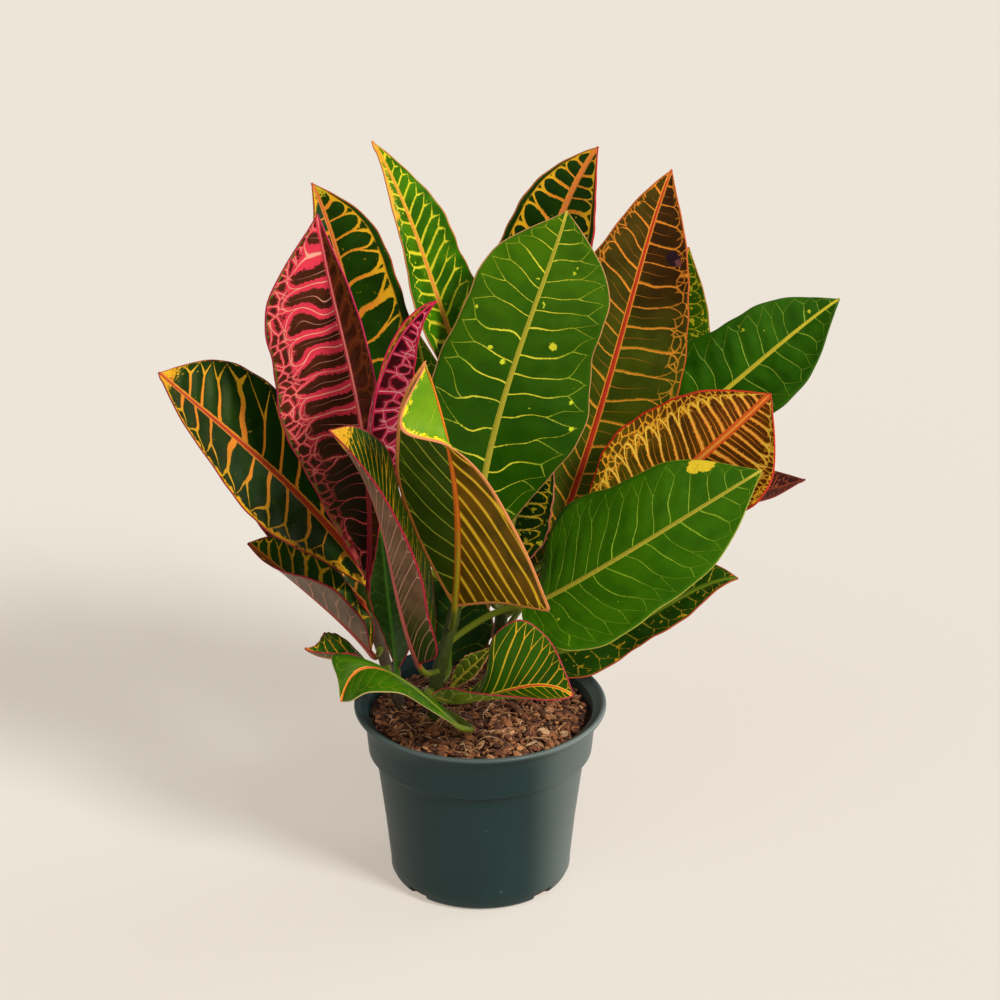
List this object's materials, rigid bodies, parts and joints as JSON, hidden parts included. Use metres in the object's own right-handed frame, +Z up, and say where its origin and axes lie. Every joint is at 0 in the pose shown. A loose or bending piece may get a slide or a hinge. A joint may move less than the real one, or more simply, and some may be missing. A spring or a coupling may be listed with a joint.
{
  "type": "potted croton",
  "caption": "Croton house plant with broad, wavy, vein-patterned leaves on three stems, in a round nursery pot filled with coarse soil.",
  "frame": {"origin": "middle of the pot's underside, on the surface that it rests on", "axes": "+Z up; the side seen in the picture faces -Y and its right is +X"},
  "size_m": [0.2718, 0.1716, 0.3063],
  "materials": {
    "pot": "satin",
    "soil": "matte",
    "green_stem": "satin",
    "woody_stem": "matte",
    "leaf_green": "satin",
    "leaf_bright": "satin",
    "leaf_dark": "satin",
    "leaf_bronze": "satin",
    "leaf_orange": "satin",
    "leaf_maroon": "satin",
    "leaf_pink": "satin",
    "leaf_gold": "satin",
    "leaf_grey": "satin"
  },
  "bodies": {
    "root": {"pot": "pot", "soil": "soil", "stem_front": "green_stem", "stem_left": "woody_stem", "stem_back": "green_stem", "leaf_big_green": "leaf_green", "leaf_broad_green": "leaf_green", "leaf_right_green": "leaf_green", "leaf_back_middle": "leaf_green", "leaf_back_tall": "leaf_green", "leaf_low_boat": "leaf_bright", "leaf_low_left_turned": "leaf_bright", "leaf_top_left": "leaf_bright", "leaf_bronze_behind": "leaf_bright", "leaf_top_middle": "leaf_dark", "leaf_far_left": "leaf_dark", "leaf_left_dark": "leaf_dark", "leaf_low_right": "leaf_dark", "leaf_inner_spotted": "leaf_dark", "leaf_left_strip": "leaf_dark", "leaf_low_left_small": "leaf_dark", "leaf_inner_dark": "leaf_dark", "leaf_back_far_left": "leaf_dark", "leaf_bronze": "leaf_bronze", "leaf_back_right": "leaf_bronze", "leaf_orange_net": "leaf_orange", "leaf_maroon": "leaf_maroon", "leaf_back_left": "leaf_maroon", "leaf_pink": "leaf_pink", "leaf_magenta": "leaf_pink", "leaf_front_turned": "leaf_gold", "leaf_inner_olive": "leaf_gold", "leaf_front_boat": "leaf_grey", "leaf_left_boat": "leaf_grey"}
  },
  "joints": []
}
